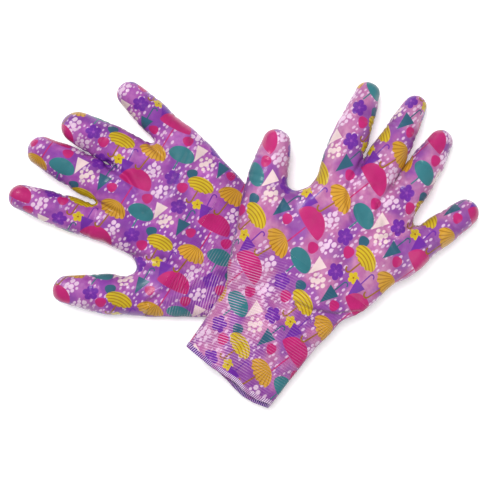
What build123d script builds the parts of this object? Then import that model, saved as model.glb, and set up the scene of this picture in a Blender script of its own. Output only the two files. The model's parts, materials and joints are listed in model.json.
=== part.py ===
from build123d import *
import os
from math import cos, radians, sin, tan

# A pair of knit gardening gloves with a clear dip over the hand, as laid down after work:
# the left glove palm up on the table, the right glove palm down across its cuff.
# Each glove has its own plan frame. v runs from the wrist towards the middle finger,
# u runs across the hand, away from the thumb, and z is the height above the table.

os.makedirs("parts", exist_ok=True)

# Fabric
LINER_WALL = 1.2
CUFF_WALL = 2.0
COATING = 0.5

# Cuff
CUFF_LENGTH = 54.0
HEM_WIDTH = 4.5
HEM_LAP = 3.0
HEM_PROUD = 0.35
ELASTIC_COUNT = 9
ELASTIC_PITCH = 5.2
ELASTIC_START = 4.0
ELASTIC_WIDTH = 0.9
ELASTIC_DEPTH = 0.75
ELASTIC_THICKNESS = 0.5

# Knuckles
HINGE_TO_PALM = 0.4  # how far the hinge lies from a digit's axis, as a share of its radius
KNUCKLE_GAP = 0.25
SWING_CLEARANCE = 1.0
CUT_MARGIN = 4.0
ROOT_RANGE = (-10.0, 60.0)
TIP_RANGE = (-10.0, 70.0)
THUMB_ROOT_RANGE = (-10.0, 45.0)
THUMB_TIP_RANGE = (-10.0, 55.0)

# The hand is dipped from the fingertips to this far from the wrist.
DIP_LINE = 30.0

BLOCK = 600.0  # the side of a block that is sure to hold the pair

# Each palm section is v, the edge on the thumb's side, the other edge, the height of its
# middle and half its thickness. Each digit is its start inside the palm, its root knuckle,
# its middle knuckle and the centre of its tip, all as u, v, z and radius.
LEFT = {
    "name": "left",
    "wrist": (-11.5, -17.0),
    "heading": 147.7,
    "palm_side": 1,
    "cuff": {"v": -10.0, "u": 9.0, "z": 8.7, "half_width": 36.0, "half_thickness": 8.2, "dip": 0.0},
    "palm": [
        (8.0, -32.0, 53.0, 9.2, 9.0),
        (30.0, -34.0, 58.5, 11.8, 11.6),
        (55.0, -30.0, 64.0, 12.6, 13.0),
        (80.0, -26.0, 68.5, 12.6, 12.4),
    ],
    "digits": {
        "thumb": [(-27, 8, 12.4, 11.2), (-50, 47, 14.4, 13.6), (-60.5, 66, 16.5, 12.8), (-68.8, 84, 19.5, 9.0)],
        "index": [(-13, 66, 12.9, 11.0), (-19.8, 92, 13.2, 11.7), (-26.2, 118, 16, 11.4), (-32, 143.2, 22, 8.6)],
        "middle": [(5.5, 70, 12.9, 11.6), (4.9, 101, 13.6, 12.2), (3.2, 127, 16.5, 12.6), (1.8, 147.6, 21.5, 10.1)],
        "ring": [(34, 68, 12.9, 11.4), (32.4, 97, 13.4, 12.1), (30.6, 120, 16, 12.3), (28.4, 137.3, 20.5, 10.0)],
        "little": [(54, 56, 12.7, 10.6), (60, 84, 12.9, 11.3), (63.6, 104, 15, 10.4), (66.5, 118.6, 18, 8.2)],
    },
}
RIGHT = {
    "name": "right",
    "wrist": (27.2, -39.1),
    "heading": 56.0,
    "palm_side": -1,
    "cuff": {"v": -8.0, "u": -1.0, "z": 28.8, "half_width": 36.0, "half_thickness": 10.2, "dip": 8.0},
    "palm": [
        (12.0, -36.0, 39.5, 29.4, 10.8),
        (31.0, -36.0, 48.5, 30.2, 11.8),
        (50.0, -34.0, 54.0, 30.2, 12.5),
        (70.0, -31.5, 62.0, 29.0, 12.7),
        (84.0, -29.5, 66.5, 27.8, 12.0),
    ],
    "digits": {
        "thumb": [(-33, 9, 30.6, 11.8), (-53, 56, 29.2, 13.6), (-59, 74, 26.5, 12.3), (-63.6, 88, 22.8, 9.4)],
        "index": [(-13, 74, 28.4, 11.4), (-21.5, 105, 25.8, 12.1), (-26.8, 130, 21.4, 11.4), (-31, 150.3, 15, 8.5)],
        "middle": [(5, 78, 28.2, 11.6), (3.8, 113, 25.2, 12.3), (2.4, 139, 20.6, 10.8), (0.6, 162.2, 12.9, 7.8)],
        "ring": [(29, 76, 28.2, 11.4), (29, 105, 25.6, 11.7), (28.8, 129, 21.4, 11.3), (28.8, 151.2, 14.2, 8.5)],
        "little": [(48, 66, 28.4, 11.0), (57.5, 90, 26.4, 11.4), (64, 107, 23.2, 10.5), (69.4, 120.4, 19, 8.6)],
    },
}
GLOVES = (LEFT, RIGHT)


def along(glove):
    """The glove's v direction in the row frame."""
    turn = radians(glove["heading"])
    return Vector(cos(turn), sin(turn), 0)


def across(glove):
    """The glove's u direction in the row frame."""
    turn = radians(glove["heading"])
    return Vector(sin(turn), -cos(turn), 0)


def place(glove, u, v, z):
    x, y = glove["wrist"]
    return Vector(x, y, z) + across(glove) * u + along(glove) * v


def keep(name, shape):
    """Write one node, as the solids of its shape."""
    solids = shape.solids()
    node = solids[0] if len(solids) == 1 else Compound(children=list(solids))
    export_step(node, f"parts/{name}.step")


# ---- the digits' frames and tubes ----------------------------------------------------


def segment_frame(glove, start, end):
    """A plane at start whose z runs towards end and whose x is level, across the digit."""
    a, b = place(glove, *start[:3]), place(glove, *end[:3])
    run = b - a
    level = Vector(run.Y, -run.X, 0)
    return Plane(origin=a, x_dir=level.normalized(), z_dir=run.normalized()), run.length


def tube(glove, start, end, grow=0.0):
    """The frustum between two knuckles."""
    frame, length = segment_frame(glove, start, end)
    low, high = start[3] + grow, end[3] + grow
    return frame * Cone(low, high, length, align=(Align.CENTER, Align.CENTER, Align.MIN))


def fingertip(glove, start, end, grow=0.0):
    """The last frustum of a digit with its round end."""
    frame, length = segment_frame(glove, start, end)
    low, high = start[3] + grow, end[3] + grow
    outline = Polyline((0, length + high), (0, 0), (low, 0), (high, length))
    cap = CenterArc((0, length), high, 0, 90)
    profile = make_face(Curve() + [outline, cap])
    return frame * revolve(Plane.XZ * profile, Axis.Z)


def knuckle_hinge(glove, before, knuckle, after):
    """Where a knuckle's hinge lies: its point, its axis, the digit's run and the palm's way."""
    a, b, c = (place(glove, *p[:3]) for p in (before, knuckle, after))
    run = ((b - a).normalized() + (c - b).normalized()).normalized()
    level = Vector(run.Y, -run.X, 0).normalized()
    to_back = level.cross(run) * glove["palm_side"] * -1
    to_palm = to_back * -1
    point = b + to_palm * (HINGE_TO_PALM * knuckle[3])
    return point, level, run, to_palm


def knuckle_cut(glove, before, knuckle, after, limits, beyond):
    """What is cut off one side of a knuckle so that the digit can swing between its limits.

    The face left behind is a shallow V with its edge on the hinge. beyond is 1 for the
    piece on the wrist's side of the knuckle and -1 for the piece on the fingertip's side.
    """
    point, level, run, to_palm = knuckle_hinge(glove, before, knuckle, after)
    radius = knuckle[3]
    palm_reach = (1 - HINGE_TO_PALM) * radius + CUT_MARGIN
    back_reach = (1 + HINGE_TO_PALM) * radius + CUT_MARGIN
    palm_spread = palm_reach * tan(radians(limits[1] / 2 + SWING_CLEARANCE))
    back_spread = back_reach * tan(radians(-limits[0] / 2 + SWING_CLEARANCE))
    far = radius * 2
    frame = Plane(origin=point, x_dir=run * beyond, z_dir=(run * beyond).cross(to_palm))
    outline = Polyline(
        (-KNUCKLE_GAP, 0),
        (-KNUCKLE_GAP - palm_spread, palm_reach),
        (far, palm_reach),
        (far, -back_reach),
        (-KNUCKLE_GAP - back_spread, -back_reach),
        close=True,
    )
    return frame * extrude(make_face(outline), radius + CUT_MARGIN, both=True)


# ---- one digit: liner and dip, base and tip --------------------------------------


def limits_of(digit):
    if digit == "thumb":
        return THUMB_ROOT_RANGE, THUMB_TIP_RANGE
    return ROOT_RANGE, TIP_RANGE


def root_cut(glove, digit, beyond):
    start, root, middle, _ = glove["digits"][digit]
    return knuckle_cut(glove, start, root, middle, limits_of(digit)[0], beyond)


def middle_cut(glove, digit, beyond):
    _, root, middle, tip = glove["digits"][digit]
    return knuckle_cut(glove, root, middle, tip, limits_of(digit)[1], beyond)


def digit_base(glove, digit):
    """The liner and the dip between a digit's root and its middle knuckle."""
    _, root, middle, _ = glove["digits"][digit]
    cuts = root_cut(glove, digit, -1) + middle_cut(glove, digit, 1)
    outer = tube(glove, root, middle)
    liner = outer - tube(glove, root, middle, -LINER_WALL)
    skin = tube(glove, root, middle, COATING) - outer
    return liner - cuts, skin - cuts


def digit_tip(glove, digit):
    """The liner and the dip beyond a digit's middle knuckle."""
    _, _, middle, tip = glove["digits"][digit]
    cut = middle_cut(glove, digit, -1)
    outer = fingertip(glove, middle, tip)
    liner = outer - fingertip(glove, middle, tip, -LINER_WALL)
    skin = fingertip(glove, middle, tip, COATING) - outer
    return liner - cut, skin - cut


# ---- the hand ------------------------------------------------------------------------


def cuff_frame(glove):
    """A plane at the wrist whose z runs out of the cuff and whose x runs across it."""
    cuff = glove["cuff"]
    dip = radians(cuff["dip"])
    outward = along(glove) * -cos(dip) + Vector(0, 0, -sin(dip))
    return Plane(origin=place(glove, cuff["u"], cuff["v"], cuff["z"]), x_dir=across(glove), z_dir=outward)


def palm_solid(glove, grow, front):
    """The palm as a loft from the cuff to the finger roots."""
    cuff = glove["cuff"]
    sections = [cuff_frame(glove) * Ellipse(cuff["half_width"] + grow, cuff["half_thickness"] + grow)]
    for v, thumb_edge, other_edge, height, half_thickness in glove["palm"]:
        reach = v + front if (v == glove["palm"][-1][0]) else v
        middle = (thumb_edge + other_edge) / 2
        half_width = (other_edge - thumb_edge) / 2
        frame = Plane(origin=place(glove, middle, reach, height), x_dir=across(glove), z_dir=along(glove) * -1)
        sections.append(frame * Ellipse(half_width + grow, half_thickness + grow))
    return loft(sections)


def hand_solid(glove, grow=0.0, front=0.0, trimmed=False):
    """The palm with the start of each digit, which trimmed cuts at the root knuckle."""
    hand = palm_solid(glove, grow, front)
    for digit, (start, root, _, _) in glove["digits"].items():
        stub = tube(glove, start, root, grow)
        hand += stub - root_cut(glove, digit, 1) if trimmed else stub
        hand += Pos(*place(glove, *start[:3])) * Sphere(start[3] + grow)
    return hand


def above_table(height):
    """The space over a level this far above the table."""
    return Pos(0, 0, height) * Box(BLOCK, BLOCK, BLOCK, align=(Align.CENTER, Align.CENTER, Align.MIN))


def past_dip_line(glove):
    """The space beyond the line that the hand is dipped to."""
    frame = Plane(origin=place(glove, 0, DIP_LINE, 0), x_dir=across(glove), z_dir=along(glove))
    return frame * Box(BLOCK, BLOCK, BLOCK, align=(Align.CENTER, Align.CENTER, Align.MIN))


def hand_pieces(glove):
    """The knit liner of the hand, and the clear dip over all of it that doesn't lie on the table."""
    inner = hand_solid(glove, -LINER_WALL, -LINER_WALL) & above_table(LINER_WALL)
    liner = (hand_solid(glove, trimmed=True) & above_table(0)) - inner
    skin = (hand_solid(glove, COATING, trimmed=True) & above_table(0)) - hand_solid(glove)
    return liner, skin & past_dip_line(glove)


# ---- the cuff ------------------------------------------------------------------------


def ring(frame, glove, outset, thickness, start, width):
    """An oval band round the cuff, measured from the cuff's outer face."""
    cuff = glove["cuff"]
    a, b = cuff["half_width"] + outset, cuff["half_thickness"] + outset
    section = Ellipse(a, b) - Ellipse(a - thickness, b - thickness)
    return frame * Pos(0, 0, start) * extrude(section, width)


def cuff_pieces(glove):
    """The ribbed cuff, its elastic yarns and the overlocked hem that wraps its edge."""
    frame = cuff_frame(glove)
    rib_length = CUFF_LENGTH - HEM_WIDTH + HEM_LAP
    rib = ring(frame, glove, 0, CUFF_WALL, 0, rib_length)
    elastic = [
        ring(frame, glove, -ELASTIC_DEPTH, ELASTIC_THICKNESS, ELASTIC_START + i * ELASTIC_PITCH, ELASTIC_WIDTH)
        for i in range(ELASTIC_COUNT)
    ]
    for yarn in elastic:
        rib -= yarn
    hem_start = CUFF_LENGTH - HEM_WIDTH
    hem = ring(frame, glove, HEM_PROUD, CUFF_WALL + 2 * HEM_PROUD, hem_start, HEM_WIDTH)
    hem -= ring(frame, glove, 0, CUFF_WALL, hem_start - 1, HEM_LAP + 1)
    return rib, Compound(children=elastic), hem


def make_glove(glove):
    name = glove["name"]
    liner, dip = hand_pieces(glove)
    keep(f"{name}_hand_liner", liner)
    keep(f"{name}_hand_dip", dip)
    rib, elastic, hem = cuff_pieces(glove)
    keep(f"{name}_cuff_rib", rib)
    keep(f"{name}_cuff_elastic", elastic)
    keep(f"{name}_cuff_hem", hem)
    for digit in glove["digits"]:
        for place_name, maker in (("base", digit_base), ("tip", digit_tip)):
            liner, dip = maker(glove, digit)
            keep(f"{name}_{digit}_{place_name}_liner", liner)
            keep(f"{name}_{digit}_{place_name}_dip", dip)


for pair_member in GLOVES:
    make_glove(pair_member)
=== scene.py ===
import json
import math
from functools import partialmethod

import bmesh
import bpy
import numpy as np
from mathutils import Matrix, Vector


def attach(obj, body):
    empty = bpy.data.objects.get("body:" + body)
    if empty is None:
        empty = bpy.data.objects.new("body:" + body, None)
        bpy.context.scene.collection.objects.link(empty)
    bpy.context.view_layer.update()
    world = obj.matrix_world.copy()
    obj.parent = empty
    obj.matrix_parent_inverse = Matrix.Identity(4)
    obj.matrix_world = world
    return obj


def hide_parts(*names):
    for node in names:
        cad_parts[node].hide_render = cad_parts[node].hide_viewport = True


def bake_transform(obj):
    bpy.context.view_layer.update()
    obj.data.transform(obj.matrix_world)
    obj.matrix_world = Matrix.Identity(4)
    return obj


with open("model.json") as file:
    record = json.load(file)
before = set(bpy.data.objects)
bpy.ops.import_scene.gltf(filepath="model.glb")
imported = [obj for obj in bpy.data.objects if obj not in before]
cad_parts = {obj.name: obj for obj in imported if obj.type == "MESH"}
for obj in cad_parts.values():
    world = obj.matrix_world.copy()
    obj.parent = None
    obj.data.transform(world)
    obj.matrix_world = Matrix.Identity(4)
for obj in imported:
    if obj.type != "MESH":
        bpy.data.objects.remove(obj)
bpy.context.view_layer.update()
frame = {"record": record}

MM = 0.001
GRID = 0.95  # cell size of the fields that the skins are drawn from, mm
RING_POINTS = 240  # round the heel and the cuff
RING_STEP = 0.36  # between their rings, mm

# ---- the two gloves
# Each glove has its own plan frame in mm: v runs from the wrist to the middle finger, u
# runs across the hand away from the thumb, z is the height above the floor.

LEFT = {
    "name": "left",
    "wrist": (-11.5, -17.0),
    "heading": 147.7,
    # v, thumb edge, other edge, height of the middle, half thickness
    "sections": [
        (-70, -27, 45, 8.7, 7.4), (-10, -27, 45, 8.9, 8.2), (8, -31, 53, 9.4, 9.2),
        (30, -36, 59.5, 11.9, 11.6), (45, -33, 62.5, 12.4, 12.2), (53, -28, 64, 12.6, 12.4),
        (60, -25.5, 65.5, 12.7, 12.5), (75, -25.5, 68.5, 12.7, 12.3), (95, -26, 70, 12.8, 11.5),
        (130, -26, 70, 12.8, 11.0),
    ],
    # how far the palm reaches between the digits, as u and v
    "front": [(-45, 66), (-40, 70), (-27, 84), (-8, 95), (5, 100), (18, 102), (33, 98), (48, 84),
              (60, 78), (75, 70)],
    # each digit's centre line as u, v, z and radius, ending with its root, its knuckle and its tip
    "digits": {
        "thumb": [(-23, 0, 12.0, 10.5), (-35, 21, 12.9, 13.2), (-50, 47, 14.4, 13.6),
                  (-60.5, 66, 16.5, 12.8), (-68.8, 84, 19.5, 9.0)],
        "index": [(-13, 66, 12.9, 11.0), (-19.8, 92, 13.2, 11.7), (-26.2, 118, 16, 11.4),
                  (-32, 143.2, 22, 8.6)],
        "middle": [(5.5, 70, 12.9, 11.6), (5.4, 101, 13.6, 13.5), (3.6, 122, 16.0, 13.0),
                   (1.8, 147.6, 21.5, 10.1)],
        "ring": [(34, 68, 12.9, 11.4), (31.9, 97, 13.4, 13.2), (30.2, 118, 16, 12.6),
                 (28.4, 137.3, 20.5, 10.0)],
        "little": [(54, 56, 12.7, 10.6), (60, 84, 12.9, 11.3), (63.6, 104, 15, 10.4),
                   (66.5, 118.6, 18, 8.2)],
    },
    # for each digit, where the bend at the root and at the knuckle start and end, as
    # distances along the digit from its root point
    "zones": {
        "thumb": (-3, 12, 13, 30), "index": (5, 22, 23, 38), "middle": (3.5, 20, 20.5, 36),
        "ring": (7.5, 23, 23.5, 37), "little": (3, 18, 18.5, 32),
    },
    # the edge of the cuff's lower layer as u and v, and how far short of it the upper one ends
    "mouth_low": [(-40, -64), (-10, -64.4), (10, -63.6), (30, -64.3), (50, -64)],
    "mouth_lift": [(-40, 0.4), (0, 0.0), (25, 1.2), (50, 0.6)],
    # folds in the upper side: a path in u and v, a depth and a width
    "creases": [
        ([(-46.4, 32.4), (-30, 24), (-16, 12)], 2.0, 3.4),
        ([(-26, 58), (-18, 42), (-14, 26), (-16, 12)], 1.2, 4.5),
        ([(4, 66), (26, 60), (50, 62), (66, 66)], 0.8, 4.0),
        ([(-8, 98), (-6, 82)], 1.2, 3.4), ([(18.5, 106), (18, 90), (13, 80)], 1.5, 3.4),
        ([(45, 88), (42, 74)], 1.3, 3.4),
    ],
    # the printed cloth's own directions in the row's plan, and where its repeat starts
    "print": {"right": (0.869, -0.502), "up": (0.578, 0.815), "at": (-68.7, 21.8)},
    "print_below": {"right": (0.85, 0.5), "up": (-0.5, 0.85), "at": (-20.0, 31.0)},
    "ground": ((160, 74, 166), (184, 104, 182)),  # its two tones
    "brightness": (0.66, 0.92),  # of the whole cloth, from its darkest to its lightest places
}
RIGHT = {
    "name": "right",
    "wrist": (27.2, -39.1),
    "heading": 56.0,
    "sections": [
        (-72, -36.5, 32, 20.2, 7.6), (-40, -37, 34, 24.2, 9.0), (-8, -37, 35.5, 28.6, 10.0),
        (12, -38, 39, 29.4, 10.6), (22, -38, 45.5, 29.8, 11.1), (31, -37, 48.5, 30.0, 11.6),
        (50, -40, 54, 30.0, 12.3), (64, -37, 60, 29.4, 12.4), (72, -33, 62.5, 29, 12.5),
        (80, -29.5, 66, 28.2, 12.0), (90, -30, 67.5, 27.6, 11.6), (130, -30, 67.5, 27.6, 11.6),
    ],
    "front": [(-50, 62), (-45, 66), (-35, 71), (-7, 104), (4, 106), (16, 104), (30, 98), (44, 92),
              (57, 84), (75, 76)],
    "digits": {
        "thumb": [(-34, 8, 30.5, 11.6), (-43, 32, 30.2, 13.4), (-53, 56, 29.2, 13.6),
                  (-59, 74, 26.5, 12.3), (-63.6, 88, 22.8, 9.4)],
        "index": [(-13, 74, 29.4, 11.4), (-21.2, 105, 26.8, 12.9), (-26.8, 130, 22.0, 11.5),
                  (-31, 150.3, 15, 8.5)],
        "middle": [(5, 78, 28.2, 11.6), (3.9, 113, 25.2, 13.1), (2.4, 139, 20.6, 10.9),
                   (0.6, 162.2, 12.9, 7.8)],
        "ring": [(29, 76, 27.6, 11.4), (28.6, 105, 24.9, 12.5), (28.8, 129, 21.0, 11.3),
                 (28.8, 151.2, 14.2, 8.5)],
        "little": [(48, 66, 27.8, 11.0), (57.5, 90, 25.9, 11.4), (64, 107, 22.9, 10.5),
                   (69.4, 120.4, 19, 8.6)],
    },
    "zones": {
        "thumb": (7.5, 19, 19.5, 31), "index": (5, 22, 23, 40), "middle": (-3, 15, 16, 33),
        "ring": (1, 17, 18, 35), "little": (2.5, 15, 15.5, 28),
    },
    "mouth_low": [(-45, -60.8), (-36, -61.2), (-17.6, -63.2), (-8.9, -63.8), (-1.3, -65.0),
                  (6.4, -67.0), (14.4, -68.5), (22.8, -68.0), (31.9, -65.2), (40, -64)],
    "mouth_lift": [(-40, 0.2), (-15, 0.4), (-5, 2.2), (4, 4.6), (13, 4.4), (22, 4.2), (33, 3.6), (40, 3)],
    "creases": [
        ([(45.2, 22.8), (34.5, 13.5), (20, 7), (8, 5)], 1.9, 3.4),
        ([(-36, 52), (-24, 40), (-16, 24)], 1.1, 5.0),
        ([(6, 97), (18, 88), (30, 80), (44, 74)], 0.9, 4.5),
        ([(-9, 108), (-8, 92), (-2, 80), (8, 72)], 1.6, 3.4), ([(16.5, 106), (17, 90), (20, 80)], 1.4, 3.4),
        ([(43, 94), (39, 82), (30, 72)], 1.4, 3.4),
    ],
    "print": {"right": (0.51, -0.947), "up": (0.876, 0.613), "at": (38.3, -9.9)},
    "print_below": {"right": (-0.9, 0.3), "up": (-0.3, -0.9), "at": (20.0, -20.0)},
    "ground": ((180, 98, 158), (200, 132, 174)),
    "brightness": (0.76, 0.98),
}
GLOVES = (LEFT, RIGHT)

# ---- shared sizes, mm

OUTLINE_POWER = 2.35  # of the oval that a palm section is
FRONT_EASE = 12  # how softly the palm ends between the digits
DIGIT_FLATTENING = 0.92
DIGIT_GAP = 0.3  # between neighbouring digits at their roots
THUMB_WEB, FINGER_WEB = 15, 7  # how widely a digit flows into the palm
LINE_STEPS = 8  # on a digit's centre line from one point to the next
TUBE_REACH = 28  # from the centre line, past which a digit's field is just FAR
FAR = 40.0
DIP_LINE = 30.0  # v where the dip ends
HEEL_START = -9.0  # v where the heel meets the cuff
CUFF_SPAN = 56.0
CUFF_EASE = 8.0  # the length over which the cuff's first rings join the heel
WALL = 1.1
FLOOR_GAP = 0.35  # left under the places that rest on the floor
FLOOR_EASE = 1.2
COURSE_PITCH = 1.8
RIDGE = 0.26  # height of the knitted ribs
HEM_WIDTH = 4.4
HEM_OVERLAP = 0.7  # how far the hem's middle lies inside the cuff's edge
HEM_THREAD = 0.45
STITCH = 1.35  # from one stitch of the hem to the next
HEM_SIDES, HEM_FINE = 22, 6  # points round the hem, and its rings for each of the cuff's points
ELASTIC_RINGS, ELASTIC_START, ELASTIC_PITCH = 9, 4.0, 5.2
ELASTIC_SIDES = 6
DOWN = np.array([0, -1.0, 0])  # from the hand to the cuff's mouth
TILE = (61.0, 47.6)  # the print's repeat
ROLL_RADIUS = 10.0  # of the sides that the print rolls over


def turn_to_row(glove, vectors):
    """Directions in the glove frame to the row frame."""
    turn = math.radians(glove["heading"])
    u, v, z = vectors.T
    x = math.sin(turn) * u + math.cos(turn) * v
    y = -math.cos(turn) * u + math.sin(turn) * v
    return np.stack([x, y, z], 1)


def to_row(glove, points):
    """Points in the glove frame in mm to the row frame in metres."""
    return (turn_to_row(glove, points) + (*glove["wrist"], 0)) * MM


# ---- noise


def trilinear(values, cell, t):
    """Values between the points of a lattice that wraps round, at the shares t across each cell."""
    total = np.zeros(len(cell))
    for corner in np.ndindex(2, 2, 2):
        at = (cell + corner) % values.shape
        total += np.prod(np.where(corner, t, 1 - t), axis=1) * values[tuple(at.T)]
    return total


class Noise:
    """Smooth value noise on a seeded lattice."""

    def __init__(self, seed):
        self.values = np.random.default_rng(seed).uniform(-1, 1, (32, 32, 32))

    def __call__(self, points, scale):
        cell = np.floor(points / scale).astype(int)
        t = points / scale - cell
        return trilinear(self.values, cell, t * t * (3 - 2 * t))


NOISE = Noise(11)
NOISE_B = Noise(23)


# ---- fields


def smooth_min(a, b, k):
    """The smaller of two fields, rounded where they differ by less than k."""
    h = np.maximum(k - np.abs(a - b), 0) / k
    return np.minimum(a, b) - h * h * k / 4


def smooth_max(a, b, k):
    return -smooth_min(-a, -b, k)


def smooth_table(knots, reach, spread):
    """Dense values of a polyline, rounded at its knots by a bell-shaped window."""
    knots = np.array(knots, float)
    at = np.arange(reach[0], reach[1], 0.5)
    window = np.exp(-np.linspace(-2.2, 2.2, int(4 * spread) + 1) ** 2)
    window /= window.sum()
    pad = len(window) // 2
    columns = []
    for column in range(1, knots.shape[1]):
        values = np.interp(at, knots[:, 0], knots[:, column])
        padded = np.concatenate([np.full(pad, values[0]), values, np.full(pad, values[-1])])
        columns.append(np.convolve(padded, window, "valid")[: len(at)])
    return at, columns


class Glove:
    """The shape of one glove as fields that are negative inside, in mm."""

    def __init__(self, glove):
        self.sections = smooth_table(glove["sections"], (-75, 175), 5)
        self.front = smooth_table(glove["front"], (-90, 95), 6)
        self.lines = {name: self.line(points) for name, points in glove["digits"].items()}
        self.zones = glove["zones"]
        self.digits = list(glove["digits"])

    def line(self, points):
        """A digit's centre line, drawn through its points, with its radius."""
        p = np.array(points, float)
        p = np.vstack([2 * p[0] - p[1], p, 2 * p[-1] - p[-2]])
        out = []
        for i in range(1, len(p) - 2):
            for t in np.linspace(0, 1, LINE_STEPS + 1)[:-1]:
                a, b, c, d = p[i - 1], p[i], p[i + 1], p[i + 2]
                out.append(0.5 * (2 * b + (c - a) * t + (2 * a - 5 * b + 4 * c - d) * t * t
                                  + (3 * b - a - 3 * c + d) * t ** 3))
        out.append(p[-2])
        return np.array(out)

    def section(self, v):
        """Both edges, the height of the middle and the half thickness at each v."""
        at, columns = self.sections
        return [np.interp(v, at, column) for column in columns]

    def middle(self, v):
        left, right, height, _ = self.section(v)
        return np.stack([(left + right) / 2, v, height], 1)

    def palm(self, p):
        left, right, height, half = self.section(p[:, 1])
        width = (right - left) / 2
        x = np.abs(p[:, 0] - (left + right) / 2) / width
        y = np.abs(p[:, 2] - height) / half
        n = OUTLINE_POWER
        # q is 1 on the oval. Over its slope it gives a distance, except near the middle.
        q = (x ** n + y ** n) ** (1 / n) + 1e-6
        slope = q ** (1 - n) * np.hypot(x ** (n - 1) / width, y ** (n - 1) / half)
        field = np.where(q < 0.35, -0.65 * half, (q - 1) / np.maximum(slope, 0.02))
        edge = np.interp(p[:, 0], self.front[0], self.front[1][0])
        slant = np.interp(p[:, 0], self.front[0], np.gradient(self.front[1][0], self.front[0]))
        return smooth_max(field, (p[:, 1] - edge) / np.sqrt(1 + slant ** 2), FRONT_EASE)

    def tube(self, p, name):
        """Distance to the skin of one digit."""
        line = self.lines[name]
        out = np.full(len(p), FAR)
        low = line[:, :3].min(0) - TUBE_REACH
        high = line[:, :3].max(0) + TUBE_REACH
        near = np.all((p > low) & (p < high), axis=1)
        q = p[near] * (1, 1, 1 / DIGIT_FLATTENING)
        c = line * (1, 1, 1 / DIGIT_FLATTENING, 1)
        best = np.full(len(q), FAR)
        for a, b in zip(c, c[1:]):
            run = b[:3] - a[:3]
            t = np.clip((q - a[:3]) @ run / (run @ run), 0, 1)
            gap = q - a[:3] - t[:, None] * run
            best = np.minimum(best, np.sqrt((gap * gap).sum(1)) - (a[3] + t * (b[3] - a[3])))
        out[near] = best
        return out

    def tubes(self, p):
        return {name: self.tube(p, name) for name in self.digits}

    def joined(self, p):
        """The palm with each digit alone."""
        palm = self.palm(p)
        tubes = self.tubes(p)
        out = {}
        for i, name in enumerate(self.digits):
            own = tubes[name]
            for j in (i - 1, i + 1):
                if 0 <= j < len(self.digits):
                    own = np.maximum(own, (tubes[name] - tubes[self.digits[j]] + DIGIT_GAP) / 2)
            out[name] = smooth_min(palm, own, THUMB_WEB if name == "thumb" else FINGER_WEB)
        return out

    def marks(self, name):
        """A digit's root point and its knuckle."""
        line = self.lines[name]
        return line[-1 - 2 * LINE_STEPS, :3], line[-1 - LINE_STEPS, :3]

    def axis(self, name):
        root, knuckle = self.marks(name)
        return (knuckle - root) / np.linalg.norm(knuckle - root)

    def travel(self, p, name):
        """How far along a digit points lie, in mm from its root point."""
        return (p - self.marks(name)[0]) @ self.axis(name)

    def station(self, name, distance):
        """The point at a distance along a digit from its root point."""
        return self.marks(name)[0] + self.axis(name) * distance


# ---- meshes from fields


def surface_net(field, low, size):
    """Quads on the zero surface of a sampled field: one point in each cell that it crosses."""
    inside = field < 0
    nx, ny, nz = field.shape
    cells = (nx - 1, ny - 1, nz - 1)
    total = np.zeros(cells + (3,))
    count = np.zeros(cells)
    corners = [(i, j, k) for i in (0, 1) for j in (0, 1) for k in (0, 1)]

    def view(c):
        return tuple(slice(o, o + n) for o, n in zip(c, cells))

    for a in corners:
        for axis in range(3):
            if a[axis]:
                continue
            b = tuple(o + (axis == k) for k, o in enumerate(a))
            fa, fb = field[view(a)], field[view(b)]
            cross = (fa < 0) != (fb < 0)
            t = np.where(cross, fa / np.where(cross, fa - fb, 1), 0)
            for k in range(3):
                total[..., k] += np.where(cross, a[k] + (t if k == axis else 0), 0)
            count += cross
    used = count > 0
    index = np.full(cells, -1)
    index[used] = np.arange(used.sum())
    at = np.argwhere(used)
    verts = low + (at + total[used] / count[used][:, None]) * size
    quads = []
    for axis in range(3):
        a = [slice(0, -1)] * 3
        b = list(a)
        others = [k for k in range(3) if k != axis]
        for k in others:
            a[k] = b[k] = slice(1, -1)
        a[axis], b[axis] = slice(0, -1), slice(1, None)
        ia, ib = inside[tuple(a)], inside[tuple(b)]
        for first, flip in ((ia & ~ib, False), (~ia & ib, True)):
            at = np.argwhere(first)
            at[:, others[0]] += 1
            at[:, others[1]] += 1
            ring = []
            for du, dv in ((0, 0), (1, 0), (1, 1), (0, 1)):
                c = at.copy()
                c[:, others[0]] -= du
                c[:, others[1]] -= dv
                ring.append(index[c[:, 0], c[:, 1], c[:, 2]])
            ring = np.stack(ring, 1)
            if flip ^ (axis == 1):
                ring = ring[:, ::-1]
            quads.append(ring)
    return verts, np.concatenate(quads)


def sample(field, low, size, points):
    """Trilinear value of a sampled field."""
    p = (points - low) / size
    cell = np.clip(np.floor(p).astype(int), 0, np.array(field.shape) - 2)
    return trilinear(field, cell, p - cell)


def face_normals(verts, quads):
    """Normals at the points of a mesh of quads."""
    n = np.cross(verts[quads[:, 2]] - verts[quads[:, 0]], verts[quads[:, 3]] - verts[quads[:, 1]])
    out = np.zeros_like(verts)
    for k in range(4):
        for axis in range(3):
            out[:, axis] += np.bincount(quads[:, k], n[:, axis], len(verts))
    return out / np.maximum(np.linalg.norm(out, axis=1, keepdims=True), 1e-9)


def relax(verts, quads, rounds, share):
    """Evens out a net. Each step in has a slightly larger step out, so that it hardly shrinks."""
    edges = np.concatenate([quads[:, [k, (k + 1) % 4]] for k in range(4)])
    degree = np.maximum(np.bincount(edges.ravel(), minlength=len(verts)), 1)
    for _ in range(rounds):
        for amount in (share, -share * 1.03):
            mean = np.zeros_like(verts)
            for axis in range(3):
                mean[:, axis] = (np.bincount(edges[:, 0], verts[edges[:, 1], axis], len(verts))
                                 + np.bincount(edges[:, 1], verts[edges[:, 0], axis], len(verts))) / degree
            verts = verts + amount * (mean - verts)
    return verts


# ---- folds and the print's coordinates


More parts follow.
